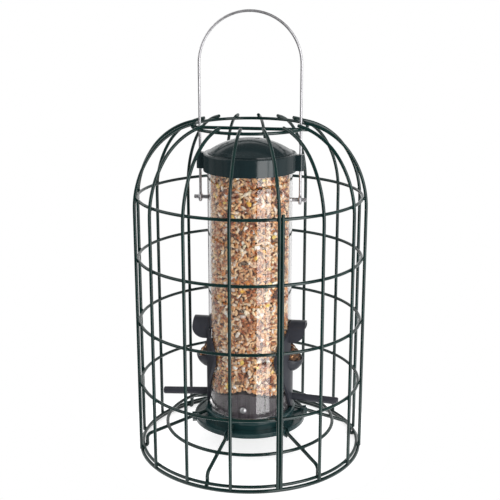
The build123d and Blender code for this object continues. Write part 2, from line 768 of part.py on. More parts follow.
# Cage hoops: inside the bars, from the lowest to the one on the shoulder
for number, share in enumerate(hoop_height_shares, start=1):
    height = lowest_hoop_height + share * (topmost_hoop_height - lowest_hoop_height)
    radius = bar_radius_at(height) - bar_radius + hoop_radius
    keep(wire_ring(radius, height, hoop_wire), f"cage_hoop_{number}")

# Top ring under the bars' ends, and the cross bar that halves its opening behind the bail
keep(wire_ring(top_ring_radius, top_ring_height, ring_wire), "cage_top_ring")

half_cross_bar = sqrt((top_ring_radius + ring_wire / 2) ** 2 - cross_bar_shift**2)
with BuildPart() as cage_cross_bar:
    with BuildSketch(Plane.YZ):
        with Locations((cross_bar_shift, cross_bar_height)):
            Circle(cross_bar_wire / 2)
    extrude(amount=half_cross_bar, both=True)
keep(cage_cross_bar.part, "cage_cross_bar")
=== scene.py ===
"""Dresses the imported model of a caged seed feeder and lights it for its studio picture.

All lengths here are metres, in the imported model's own frame: +Z up, the tube's axis at X = Y = 0,
the ports along X, and -Y towards the viewer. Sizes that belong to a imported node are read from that
node's box.
"""

import json
import logging
import math
import random
from dataclasses import dataclass, field
from enum import Enum

import bmesh
import bpy
from mathutils import Matrix, Vector


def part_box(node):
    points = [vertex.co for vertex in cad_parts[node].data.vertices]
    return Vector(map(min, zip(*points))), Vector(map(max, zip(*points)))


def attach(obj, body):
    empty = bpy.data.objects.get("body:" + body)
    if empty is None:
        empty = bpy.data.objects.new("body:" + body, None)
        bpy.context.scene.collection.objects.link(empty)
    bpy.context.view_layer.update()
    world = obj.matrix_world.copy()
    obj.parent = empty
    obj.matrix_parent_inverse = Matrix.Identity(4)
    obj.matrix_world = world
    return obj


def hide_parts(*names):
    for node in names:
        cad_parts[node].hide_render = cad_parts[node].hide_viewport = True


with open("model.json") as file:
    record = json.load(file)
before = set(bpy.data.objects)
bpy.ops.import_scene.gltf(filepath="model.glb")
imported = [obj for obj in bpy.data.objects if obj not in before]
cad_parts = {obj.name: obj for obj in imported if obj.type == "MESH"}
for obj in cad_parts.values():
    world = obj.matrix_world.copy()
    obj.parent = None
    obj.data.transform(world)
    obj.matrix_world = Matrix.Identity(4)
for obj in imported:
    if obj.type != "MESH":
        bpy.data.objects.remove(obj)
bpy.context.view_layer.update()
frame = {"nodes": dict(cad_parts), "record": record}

MM = 0.001
SAME_PLACE = 0.002 * MM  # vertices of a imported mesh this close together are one
log = logging.getLogger("feeder")

Triple = tuple[float, float, float]
Colour = Triple
Stops = tuple[tuple[float, float], ...]
Material = bpy.types.Material
Shape = bmesh.types.BMesh
Socket = bpy.types.NodeSocket
Tree = bpy.types.NodeTree


class Body(Enum):
    """The moving bodies that new pieces ride on."""

    FEEDER = "feeder"
    LID = "lid"
    CAGE = "cage"


class Slot(Enum):
    """The record's material slots."""

    GREEN_WIRE = "green_wire"
    GREEN_PLASTIC = "green_plastic"
    DARK_PLASTIC = "dark_plastic"
    GREY_PLASTIC = "grey_plastic"
    CLEAR_PLASTIC = "clear_plastic"
    BRIGHT_STEEL = "bright_steel"
    SEED = "seed"


# Shader building


def feed(tree: Tree, socket: Socket, value: Socket | float | Colour) -> None:
    """Lead another socket, or set a plain number or colour, into a socket."""
    if isinstance(value, Socket):
        tree.links.new(value, socket)
    elif isinstance(value, tuple):
        socket.default_value = (*value, 1.0)
    else:
        socket.default_value = value


def calculate(tree: Tree, operation: str, *values: Socket | float) -> Socket:
    """Add one step of arithmetic.

    Args:
        tree: The node tree to add to.
        operation: Name of the math node's operation.
        values: What it works on.

    Returns:
        The result's socket.
    """
    node = tree.nodes.new("ShaderNodeMath")
    node.operation = operation
    for socket, value in zip(node.inputs, values):
        feed(tree, socket, value)
    return node.outputs["Value"]


def where_seen(tree: Tree, lighting: float, seen: float, mirrored: Socket | None = None) -> Socket:
    """A strength that differs between light on the object and what is looked at.

    Args:
        tree: The node tree to add to.
        lighting: Value for rays that light a dull surface.
        seen: Value for rays from the camera, in a reflection or through clear plastic.
        mirrored: Value for rays in a reflection, where it isn't the same as seen.

    Returns:
        The strength's socket.
    """
    path = tree.nodes.new("ShaderNodeLightPath")
    strength = None
    for kind in ("Is Camera Ray", "Is Glossy Ray", "Is Transmission Ray"):
        choice = tree.nodes.new("ShaderNodeMix")
        choice.inputs["A"].default_value = lighting
        choice.inputs["B"].default_value = seen
        if strength:
            tree.links.new(strength, choice.inputs["A"])
        if mirrored and kind == "Is Glossy Ray":
            tree.links.new(mirrored, choice.inputs["B"])
        tree.links.new(path.outputs[kind], choice.inputs["Factor"])
        strength = choice.outputs["Result"]
    return strength


@dataclass
class ShaderSheet:
    """A material's node tree, with short calls for the nodes that the finishes share."""

    name: str

    def __post_init__(self) -> None:
        """Make the material with its surface shader and output."""
        self.material = bpy.data.materials.new(self.name)
        self.material.use_nodes = True
        self.tree = self.material.node_tree
        self.shader = next(n for n in self.tree.nodes if n.type == "BSDF_PRINCIPLED")
        self.place = self.tree.nodes.new("ShaderNodeTexCoord").outputs["Object"]

    def set(self, **values: float) -> None:
        """Set sockets of the surface shader by name, with underscores for spaces."""
        for name, value in values.items():
            self.shader.inputs[name.replace("_", " ")].default_value = value

    def link(self, source: Socket, socket: str) -> None:
        """Lead a socket into one of the surface shader's sockets."""
        self.tree.links.new(source, self.shader.inputs[socket])

    def attribute(self, name: str, output: str) -> Socket:
        """Read one of the mesh's attributes."""
        node = self.tree.nodes.new("ShaderNodeAttribute")
        node.attribute_name = name
        return node.outputs[output]

    def noise(
        self, grain: float, detail: float = 2.0, stretch: Triple = (1.0, 1.0, 1.0)
    ) -> Socket:
        """Noise on Object coordinates.

        Args:
            grain: Size of the largest features, in metres.
            detail: Octaves of finer features.
            stretch: Scale of the pattern along each axis.

        Returns:
            The noise's value socket.
        """
        mapping = self.tree.nodes.new("ShaderNodeMapping")
        mapping.inputs["Scale"].default_value = stretch
        self.tree.links.new(self.place, mapping.inputs["Vector"])
        node = self.tree.nodes.new("ShaderNodeTexNoise")
        node.inputs["Scale"].default_value = 1.0 / grain
        node.inputs["Detail"].default_value = detail
        self.tree.links.new(mapping.outputs["Vector"], node.inputs["Vector"])
        return node.outputs["Fac"]

    def remap(
        self, source: Socket, low: float, high: float, start: float = 0.3, stop: float = 0.7
    ) -> Socket:
        """Spread a value between two limits.

        Args:
            source: The value, usually a noise.
            low: Result at or below start.
            high: Result at or above stop.
            start: Source value that gives low.
            stop: Source value that gives high.

        Returns:
            The spread value's socket.
        """
        node = self.tree.nodes.new("ShaderNodeMapRange")
        node.inputs["From Min"].default_value = start
        node.inputs["From Max"].default_value = stop
        node.inputs["To Min"].default_value = low
        node.inputs["To Max"].default_value = high
        self.tree.links.new(source, node.inputs["Value"])
        return node.outputs["Result"]

    def blend(
        self, amount: Socket, first: Socket | Colour, second: Socket | Colour, mode: str = "MIX"
    ) -> Socket:
        """Mix two colours by a socket's value.

        Args:
            amount: How much of the second colour is used.
            first: The colour to start from.
            second: The colour to mix in.
            mode: Name of the mix node's blend type.

        Returns:
            The mixed colour's socket.
        """
        node = self.tree.nodes.new("ShaderNodeMix")
        node.data_type = "RGBA"
        node.blend_type = mode
        self.tree.links.new(amount, node.inputs["Factor"])
        colours = (socket for socket in node.inputs if socket.type == "RGBA")
        for socket, colour in zip(colours, (first, second)):
            feed(self.tree, socket, colour)
        return next(socket for socket in node.outputs if socket.type == "RGBA")

    def bump(self, height: Socket, depth: float, strength: float = 1.0) -> None:
        """Raise the surface by a socket's value, up to a depth in metres."""
        node = self.tree.nodes.new("ShaderNodeBump")
        node.inputs["Strength"].default_value = strength
        node.inputs["Distance"].default_value = depth
        self.tree.links.new(height, node.inputs["Height"])
        self.link(node.outputs["Normal"], "Normal")


@dataclass(frozen=True)
class PowderCoat:
    """Glossy powder coat on wire, with its orange peel and a few dull rubs."""

    deep: Colour = (0.002, 0.013, 0.012)
    fresh: Colour = (0.004, 0.024, 0.021)
    tone_grain: float = 14 * MM
    rub_grain: float = 5 * MM
    gloss: tuple[float, float] = (0.12, 0.24)
    peel: float = 0.9 * MM
    peel_depth: float = 0.04 * MM

    def material(self) -> Material:
        """Build the material."""
        sheet = ShaderSheet("green_powder_coat")
        tone = sheet.remap(sheet.noise(self.tone_grain, 3.0), 0.0, 1.0)
        sheet.link(sheet.blend(tone, self.deep, self.fresh), "Base Color")
        sheet.link(sheet.remap(sheet.noise(self.rub_grain, 4.0), *self.gloss), "Roughness")
        sheet.bump(sheet.noise(self.peel, 1.0), self.peel_depth, 0.5)
        sheet.set(Coat_Weight=0.25, Coat_Roughness=0.12, Specular_IOR_Level=0.4)
        return sheet.material


@dataclass(frozen=True)
class MouldedPlastic:
    """Injection moulded plastic with flow marks, fine grain and scuffs; where set fine and upright,
    the flow marks are painted bands of light and shade.
    """

    name: str
    deep: Colour
    light: Colour
    smooth: float
    rough: float
    grain: float
    grain_depth: float
    coat: float = 0.0
    specular: float = 0.5
    flow_and_light_band: float = 22 * MM
    along: float = 0.35
    scuff_grain: float = 7 * MM

    def material(self) -> Material:
        """Build the material."""
        sheet = ShaderSheet(self.name)
        flow_and_light_band = sheet.remap(sheet.noise(self.flow_and_light_band, 3.0, (1.0, 1.0, self.along)), 0.0, 1.0)
        sheet.link(sheet.blend(flow_and_light_band, self.deep, self.light), "Base Color")
        scuffs = sheet.noise(self.scuff_grain, 5.0)
        sheet.link(sheet.remap(scuffs, self.smooth, self.rough), "Roughness")
        sheet.bump(sheet.noise(self.grain, 2.0), self.grain_depth, 0.6)
        sheet.set(Coat_Weight=self.coat, Coat_Roughness=0.15, Specular_IOR_Level=self.specular)
        return sheet.material


@dataclass(frozen=True)
class ClearPlastic:
    """Clear tube wall, slightly hazed, with faint drawing lines along it."""

    tint: Colour = (0.93, 0.92, 0.915)
    hazed: Colour = (0.88, 0.87, 0.865)
    wall_shade: float = 0.2
    haze_grain: float = 9 * MM
    haze_along: float = 0.12
    dullest: float = 0.02

    def material(self) -> Material:
        """Build the material."""
        sheet = ShaderSheet("clear_tube_plastic")
        haze = sheet.noise(self.haze_grain, 4.0, (1.0, 1.0, self.haze_along))
        tone = sheet.remap(haze, 0.0, 1.0)
        sheet.link(sheet.blend(tone, self.tint, self.hazed), "Base Color")
        sheet.link(sheet.remap(haze, 0.0, self.dullest), "Roughness")
        sheet.set(Transmission_Weight=1.0, IOR=1.49, Specular_IOR_Level=1.0)
        shadow = sheet.tree.nodes.new("ShaderNodeLightPath").outputs["Is Shadow Ray"]
        sheet.link(sheet.remap(shadow, 1.0, self.wall_shade, 0.0, 1.0), "Alpha")
        return sheet.material


@dataclass(frozen=True)
class DrawnSteel:
    """Bright zinc-plated steel wire with drawing marks."""

    deep: Colour = (0.58, 0.57, 0.59)
    light: Colour = (0.76, 0.75, 0.77)
    mark_grain: float = 2.5 * MM
    mark_along: float = 0.06
    mark_depth: float = 0.002 * MM
    dull_grain: float = 9 * MM
    dullness: tuple[float, float] = (0.42, 0.52)

    def material(self) -> Material:
        """Build the material."""
        sheet = ShaderSheet("bright_drawn_steel")
        marks = sheet.noise(self.mark_grain, 2.0, (1.0, 1.0, self.mark_along))
        tone = sheet.remap(marks, 0.0, 1.0)
        sheet.link(sheet.blend(tone, self.deep, self.light), "Base Color")
        sheet.link(sheet.remap(sheet.noise(self.dull_grain, 2.0), *self.dullness), "Roughness")
        sheet.bump(marks, self.mark_depth, 0.3)
        sheet.set(Metallic=1.0)
        return sheet.material


@dataclass(frozen=True)
class SeedSkin:
    """Dry seed husk: each seed's own colour with mottling, a dull sheen and fine wrinkles."""

    name: str
    striped: bool = False
    mottle_grain: float = 0.9 * MM
    mottle: tuple[float, float] = (0.66, 0.97)
    brown: Colour = (0.60, 0.36, 0.25)
    patch_grain: float = 8 * MM
    patch_edge: tuple[float, float] = (0.5, 0.66)
    stripe: Colour = (0.55, 0.42, 0.30)
    stripe_turns: float = 13.0
    stripe_edge: tuple[float, float] = (0.55, 0.9)
    sheen_grain: float = 1.5 * MM
    sheen: tuple[float, float] = (0.42, 0.68)
    wrinkle_grain: float = 0.5 * MM
    wrinkle_depth: float = 0.05 * MM

    def material(self) -> Material:
        """Build the material."""
        sheet = ShaderSheet(self.name)
        shade = sheet.tree.nodes.new("ShaderNodeVectorMath")
        shade.operation = "SCALE"
        mottle = sheet.remap(sheet.noise(self.mottle_grain, 3.0), *self.mottle)
        sheet.tree.links.new(sheet.attribute("husk", "Color"), shade.inputs[0])
        sheet.tree.links.new(mottle, shade.inputs["Scale"])
        patches = sheet.remap(sheet.noise(self.patch_grain, 2.0), 0.0, 1.0, *self.patch_edge)
        colour = sheet.blend(patches, shade.outputs["Vector"], self.brown, "MULTIPLY")
        if self.striped:
            across = sheet.attribute("across", "Fac")
            turn = calculate(sheet.tree, "MULTIPLY", across, self.stripe_turns)
            wave = calculate(sheet.tree, "SINE", turn)
            stripes = sheet.remap(wave, 0.0, 0.75, *self.stripe_edge)
            colour = sheet.blend(stripes, colour, self.stripe)
        sheet.link(colour, "Base Color")
        sheet.link(sheet.remap(sheet.noise(self.sheen_grain, 2.0), *self.sheen), "Roughness")
        sheet.bump(sheet.noise(self.wrinkle_grain, 2.0), self.wrinkle_depth, 0.5)
        sheet.set(Specular_IOR_Level=0.25)
        return sheet.material


GREEN_PLASTIC = MouldedPlastic(
    name="glossy_green_plastic",
    deep=(0.007, 0.015, 0.017),
    light=(0.010, 0.022, 0.025),
    smooth=0.12,
    rough=0.2,
    grain=0.6 * MM,
    grain_depth=0.01 * MM,
    coat=0.15,
)
TRAY_PLASTIC = MouldedPlastic(
    name="tray_green_plastic",
    deep=(0.008, 0.028, 0.030),
    light=(0.012, 0.038, 0.040),
    smooth=0.14,
    rough=0.24,
    grain=0.6 * MM,
    grain_depth=0.01 * MM,
    coat=0.15,
)
DARK_PLASTIC = MouldedPlastic(
    name="satin_dark_plastic",
    deep=(0.022, 0.023, 0.030),
    light=(0.036, 0.038, 0.048),
    smooth=0.3,
    rough=0.42,
    grain=0.45 * MM,
    grain_depth=0.02 * MM,
    specular=0.35,
)
# Fine upright streaks from near black to grey: painted bands of light and shade on the plug, not the
# plastic's own colour.
GREY_PLASTIC = MouldedPlastic(
    name="grey_plug_plastic",
    deep=(0.004, 0.003, 0.004),
    light=(0.075, 0.062, 0.075),
    smooth=0.28,
    rough=0.42,
    grain=0.5 * MM,
    grain_depth=0.03 * MM,
    flow_and_light_band=1.8 * MM,
    along=0.02,
)


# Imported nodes


def soft_edge_group(limit: float) -> Tree:
    """Geometry nodes that shade a mesh smooth except across edges sharper than a limit.

    Args:
        limit: Angle in radians above which an edge stays sharp.

    Returns:
        The node group.
    """
    group = bpy.data.node_groups.new("smooth_below_angle", "GeometryNodeTree")
    group.interface.new_socket("Geometry", in_out="INPUT", socket_type="NodeSocketGeometry")
    group.interface.new_socket("Geometry", in_out="OUTPUT", socket_type="NodeSocketGeometry")
    enter, leave = group.nodes.new("NodeGroupInput"), group.nodes.new("NodeGroupOutput")
    merge = group.nodes.new("GeometryNodeMergeByDistance")
    merge.inputs["Distance"].default_value = SAME_PLACE
    angle = group.nodes.new("GeometryNodeInputMeshEdgeAngle")
    sharp = group.nodes.new("FunctionNodeCompare")
    sharp.data_type = "FLOAT"
    sharp.operation = "GREATER_THAN"
    sharp.inputs[1].default_value = limit
    faces = group.nodes.new("GeometryNodeSetShadeSmooth")
    edges = group.nodes.new("GeometryNodeSetShadeSmooth")
    edges.domain = "EDGE"
    edges.inputs["Shade Smooth"].default_value = False
    group.links.new(enter.outputs[0], merge.inputs["Geometry"])
    group.links.new(merge.outputs["Geometry"], faces.inputs["Geometry"])
    group.links.new(faces.outputs["Geometry"], edges.inputs["Geometry"])
    group.links.new(angle.outputs["Unsigned Angle"], sharp.inputs[0])
    group.links.new(sharp.outputs[0], edges.inputs["Selection"])
    group.links.new(edges.outputs["Geometry"], leave.inputs[0])
    return group


@dataclass
class PackedNodes:
    """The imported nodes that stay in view: each gets its finish and smooth shading."""

    finishes: dict[str, Material]
    own_finishes: dict[str, Material]
    sharp_angle: float = math.radians(32)
    edge_rounds: dict[str, float] = field(
        default_factory=lambda: {
            "lid": 0.35 * MM,
            "seed_tray": 0.25 * MM,
            "port_left": 0.3 * MM,
            "port_right": 0.3 * MM,
        }
    )
    rounded_angle: float = math.radians(50)

    def dress(self) -> None:
        """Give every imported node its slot's finish."""
        group = soft_edge_group(self.sharp_angle)
        slots = {entry["node"]: entry["material_slot"] for entry in frame["record"]["subparts"]}
        for name, node in frame["nodes"].items():
            finish = self.own_finishes.get(name, self.finishes[slots[name]])
            if not node.material_slots:
                node.data.materials.append(finish)
            for slot in node.material_slots:
                slot.material = finish
            if name in self.edge_rounds:
                self._round_edges(node, self.edge_rounds[name])
            smooth = node.modifiers.new("smooth", "NODES")
            smooth.node_group = group
            flat = node.modifiers.new("flat_walls", "WEIGHTED_NORMAL")
            flat.mode = "FACE_AREA"
            flat.weight = 50
            flat.keep_sharp = True
        log.info("dressed %d packed nodes", len(frame["nodes"]))

    def _round_edges(self, node: bpy.types.Object, width: float) -> None:
        """Weld a node's loose triangles and round its sharp edges."""
        weld = node.modifiers.new("weld", "WELD")
        weld.merge_threshold = SAME_PLACE
        rounding = node.modifiers.new("rounding", "BEVEL")
        rounding.width = width
        rounding.segments = 2
        rounding.limit_method = "ANGLE"
        rounding.angle_limit = self.rounded_angle
        rounding.use_clamp_overlap = True


# New pieces


def new_piece(
    name: str, shape: Shape, finish: Material, body: Body
) -> bpy.types.Object:
    """Turn a finished bmesh into a piece that rides a body.

    Args:
        name: The piece's name.
        shape: Its mesh, in place; it is freed here.
        finish: Its material.
        body: The body that it moves with.

    Returns:
        The new object.
    """
    mesh = bpy.data.meshes.new(name)
    shape.to_mesh(mesh)
    shape.free()
    mesh.shade_smooth()
    mesh.materials.append(finish)
    piece = bpy.data.objects.new(name, mesh)
    bpy.context.scene.collection.objects.link(piece)
    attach(piece, body.value)
    log.info("%s: %d faces", name, len(mesh.polygons))
    return piece


@dataclass(frozen=True)
class SeedKind:
    """One kind of seed in the mix: its half sizes, how pointed it is and its husk colours."""

    length: float
    width: float
    thickness: float
    point: float
    husks: tuple[Colour, ...]


WHEAT = SeedKind(
    2.3 * MM, 1.15 * MM, 1.0 * MM, 0.35,
    (
        (0.86, 0.52, 0.27), (0.90, 0.60, 0.34), (0.78, 0.42, 0.19), (0.92, 0.68, 0.44),
        (0.82, 0.46, 0.22), (0.50, 0.20, 0.07),
    ),
)
MILLET = SeedKind(
    1.35 * MM, 1.25 * MM, 1.15 * MM, 0.1,
    (
        (0.93, 0.66, 0.40), (0.88, 0.56, 0.28), (0.70, 0.32, 0.11), (0.94, 0.76, 0.54),
        (0.52, 0.19, 0.07),
    ),
)
KERNEL = SeedKind(
    2.7 * MM, 1.5 * MM, 1.1 * MM, 0.5,
    ((0.92, 0.78, 0.62), (0.88, 0.70, 0.52), (0.82, 0.60, 0.42), (0.93, 0.84, 0.74)),
)
MAIZE = SeedKind(
    2.3 * MM, 2.0 * MM, 1.4 * MM, 0.25,
    ((0.90, 0.50, 0.08), (0.84, 0.34, 0.08), (0.92, 0.68, 0.18)),
)
DARK_SEED = SeedKind(
    1.9 * MM, 1.4 * MM, 1.2 * MM, 0.2,
    ((0.20, 0.07, 0.03), (0.26, 0.09, 0.04), (0.12, 0.045, 0.02), (0.34, 0.12, 0.05)),
)
BLACK_SEED = SeedKind(
    2.0 * MM, 1.3 * MM, 1.1 * MM, 0.3,
    ((0.035, 0.022, 0.015), (0.08, 0.04, 0.022), (0.14, 0.07, 0.03)),
)
ROUND_SEED = SeedKind(
    2.0 * MM, 1.9 * MM, 1.8 * MM, 0.05,
    ((0.95, 0.93, 0.88), (0.94, 0.88, 0.78)),
)
SUNFLOWER = SeedKind(
    3.8 * MM, 1.9 * MM, 1.2 * MM, 0.55,
    ((0.05, 0.026, 0.014), (0.10, 0.045, 0.022), (0.16, 0.07, 0.03)),
)
SMALL_MIX: tuple[tuple[SeedKind, float], ...] = (
    (WHEAT, 0.44), (MILLET, 0.3), (KERNEL, 0.13),
    (DARK_SEED, 0.09), (MAIZE, 0.02), (ROUND_SEED, 0.02),
)
CUP_MIX: tuple[tuple[SeedKind, float], ...] = (
    (SUNFLOWER, 0.38), (BLACK_SEED, 0.4), (KERNEL, 0.14), (WHEAT, 0.08),
)


class SeedPile:
    """Gathers seeds one by one into a mesh, each with its own husk colour."""

    rings = 4
    spokes = 6
    lights = (0.88, 1.14)
    sizes = (0.85, 1.1)
    brightest = 0.95

    def __init__(self, seed: int) -> None:
        """Start an empty pile with its own row of random numbers."""
        self.dice = random.Random(seed)
        self.shape = bmesh.new()
        self.moulds: dict[SeedKind, bpy.types.Mesh] = {}

    def mould(self, kind: SeedKind) -> bpy.types.Mesh:
        """One seed's mesh at the origin, long along X and flat along Z, with its attributes."""
        if kind not in self.moulds:
            shape = bmesh.new()
            bmesh.ops.create_uvsphere(
                shape, u_segments=self.spokes, v_segments=self.rings, radius=1.0
            )
            lying = Matrix.Rotation(math.pi / 2, 3, "Y")
            bmesh.ops.rotate(shape, verts=shape.verts, cent=(0, 0, 0), matrix=lying)
            for vert in shape.verts:
                x, y, z = vert.co
                taper = 1.0 - kind.point * (0.5 + 0.5 * x) ** 2
                width, thickness = kind.width * taper, kind.thickness * taper
                vert.co = Vector((x * kind.length, y * width, z * thickness))
            mesh = bpy.data.meshes.new("seed_mould")
            shape.to_mesh(mesh)
            shape.free()
            mesh.attributes.new("husk", "FLOAT_COLOR", "POINT")
            across = mesh.attributes.new("across", "FLOAT", "POINT")
            across.data.foreach_set("value", [v.co.y / kind.width for v in mesh.vertices])
            mesh.shade_smooth()
            self.moulds[kind] = mesh
        return self.moulds[kind]

    def add(
        self,
        kind: SeedKind,
        centre: Vector,
        outward: Vector,
        tilt: float = 0.35,
        wall: float | None = None,
    ) -> None:
        """Lay one seed flat against a surface.

        Args:
            kind: The kind of seed.
            centre: Where its middle goes.
            outward: The surface's normal there.
            tilt: How far in radians it may rock out of the surface.
            wall: Radius of an upright wall about the axis that it is pushed out against, if any.
        """
        mesh = self.mould(kind)
        base = self.dice.choice(kind.husks)
        light = self.dice.uniform(*self.lights)
        colour = [min(channel * light, self.brightest) for channel in base] + [1.0]
        mesh.attributes["husk"].data.foreach_set("color", colour * len(mesh.vertices))
        turn = outward.to_track_quat("Z", "Y").to_matrix().to_4x4()
        spin = Matrix.Rotation(self.dice.uniform(0, 2 * math.pi), 4, "Z")
        pitch = Matrix.Rotation(self.dice.uniform(-tilt, tilt), 4, "Y")
        roll = Matrix.Rotation(self.dice.uniform(-tilt, tilt), 4, "X")
        size = Matrix.Scale(self.dice.uniform(*self.sizes), 4)
        place = Matrix.Translation(centre) @ turn @ spin @ (pitch @ roll) @ size
        mesh.transform(place)
        if wall is not None:
            push = Matrix.Translation(outward * (wall - max(v.co.xy.length for v in mesh.vertices)))
            mesh.transform(push)
            place = push @ place
        self.shape.from_mesh(mesh)
        mesh.transform(place.inverted())

    def pick(self, mix: tuple[tuple[SeedKind, float], ...] = SMALL_MIX) -> SeedKind:
        """Choose a kind of seed by its share of a mix."""
        return self.dice.choices([kind for kind, _ in mix], [share for _, share in mix])[0]

    def core(self, core: Shape, colour: Colour) -> None:
        """Add a plain filling that closes the gaps between the seeds, in one colour that paints the
        shade between them; the core is freed.
        """
        mesh = bpy.data.meshes.new("seed_core")
        core.to_mesh(mesh)
        core.free()
        husk = mesh.attributes.new("husk", "FLOAT_COLOR", "POINT")
        husk.data.foreach_set("color", [*colour, 1.0] * len(mesh.vertices))
        mesh.attributes.new("across", "FLOAT", "POINT")
        self.shape.from_mesh(mesh)
        bpy.data.meshes.remove(mesh)

    def finish(self) -> Shape:
        """Drop the moulds and hand over the pile's mesh."""
        for mesh in self.moulds.values():
            bpy.data.meshes.remove(mesh)
        return self.shape


@dataclass
class SeedFill:
    """The seed in the tube: two layers of small seeds, and larger ones among them at the wall."""

    small: Material
    striped: Material
    pitch: float = 2.9 * MM
    row: float = 2.4 * MM
    inner_pitch: float = 3.0 * MM
    inner_row: float = 2.5 * MM
    layer_depth: float = 1.3 * MM
    core_depth: float = 2.7 * MM
    sunflower_count: int = 55
    # dark colour of the filling: painted shade in the gaps between the seeds
    core_shade_colour: Colour = (0.16, 0.075, 0.035)
    roof_fall: float = 8.3 * MM
    place_jitter: float = 0.4
    row_jitter: float = 0.45
    small_tilt: float = 0.45
    large_tilt: float = 0.2
    set_back: float = 0.6 * MM
    end_room: float = 1.1
    core_roof_gap: float = 0.5 * MM
    top_inset: float = 3 * MM
    top_jitter: float = 0.3
    top_sink: float = 0.5

    def __post_init__(self) -> None:
        """Read the fill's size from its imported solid."""
        low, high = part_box("seeds_in_tube")
        self.radius = high.x
        self.bottom, self.top = low.z, high.z

    def foot(self, x: float) -> float:
        """Height of the fill's underside on the plug's roof, at a distance from the ridge."""
        return self.bottom + self.roof_fall * (1.0 - min(abs(x) / self.radius, 1.0))

    def build(self) -> None:
        """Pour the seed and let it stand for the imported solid."""
        outer = SeedPile(7)
        self._layer(outer, self.pitch, self.row, 0.0)
        piece = new_piece("tube_seed_at_wall", outer.finish(), self.small, Body.FEEDER)
        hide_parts("seeds_in_tube")
        inner = SeedPile(11)
        inner.core(self._core(), self.core_shade_colour)
        self._layer(inner, self.inner_pitch, self.inner_row, self.layer_depth)
        self._top(inner)
        new_piece("tube_seed_behind", inner.finish(), self.small, Body.FEEDER)
        new_piece("tube_sunflower_seed", self._large_seeds(), self.striped, Body.FEEDER)

    def _layer(self, pile: SeedPile, pitch: float, row: float, depth: float) -> None:
        """Small seeds in jittered rows up the side, some way in from the tube's wall."""
        count = int(2 * math.pi * self.radius / pitch)
        for level in range(int((self.top - self.bottom) / row)):
            for place in range(count):
                shift = pile.dice.uniform(-self.place_jitter, self.place_jitter)
                angle = 2 * math.pi * (place + 0.5 * (level % 2) + shift) / count
                lift = pile.dice.uniform(-self.row_jitter, self.row_jitter)
                rise = self.bottom + row * (level + 0.5 + lift)
                kind = pile.pick()
                inset = depth + pile.dice.uniform(0, self.set_back)
                self._against_wall(pile, kind, angle, rise, self.small_tilt, inset)

    def _top(self, pile: SeedPile) -> None:
        """Small seeds over the fill's top."""
        for ring in range(1, int((self.radius - self.top_inset) / self.inner_pitch) + 1):
            count = int(2 * math.pi * ring)
            for place in range(count):
                shift = pile.dice.uniform(-self.top_jitter, self.top_jitter)
                angle = 2 * math.pi * (place + shift) / count
                kind = pile.pick()
                centre = Vector((math.cos(angle), math.sin(angle), 0)) * ring * self.inner_pitch
                centre.z = self.top - kind.length * self.top_sink - kind.thickness
                pile.add(kind, centre, Vector((0, 0, 1)))

    def _large_seeds(self) -> Shape:
        """Sunflower seeds scattered over the side."""
        pile = SeedPile(19)
        for number in range(self.sunflower_count):
            angle = pile.dice.uniform(0, 2 * math.pi)
            share = (number + pile.dice.random()) / self.sunflower_count
            rise = self.bottom + (self.top - self.bottom) * share
            self._against_wall(pile, SUNFLOWER, angle, rise, self.large_tilt, 0.0)
        return pile.finish()

    def _against_wall(
        self, pile: SeedPile, kind: SeedKind, angle: float, rise: float, tilt: float, depth: float
    ) -> None:
        """Lay a seed some way in from the tube's wall, between the fill's foot and top."""
        outward = Vector((math.cos(angle), math.sin(angle), 0))
        centre = outward * self.radius
        foot = self.foot(centre.x) + kind.length * self.end_room
        if rise < foot - kind.length:
            return
        centre.z = min(max(rise, foot), self.top - kind.length * self.end_room)
        pile.add(kind, centre, outward, tilt, self.radius - depth)

    def _core(self) -> Shape:
        """The filling behind the seeds; its dark colour paints the shade in the gaps between them.
        """
        core = bmesh.new()
        radius = self.radius - self.core_depth
        height = self.top - self.bottom - self.core_depth
        bmesh.ops.create_cone(
            core, cap_ends=True, segments=96, radius1=radius, radius2=radius, depth=height
        )
        bmesh.ops.translate(core, verts=core.verts, vec=(0, 0, self.bottom + height / 2))
        for side in (-1, 1):
            ridge = Vector((0, 0, self.foot(0) + self.core_roof_gap))
            roof = Vector((side * self.roof_fall, 0, self.radius)).normalized()
            everything = core.verts[:] + core.edges[:] + core.faces[:]
            bmesh.ops.bisect_plane(
                core, geom=everything, plane_co=ridge, plane_no=roof, clear_inner=True
            )
            bmesh.ops.holes_fill(core, edges=core.edges)
        return core


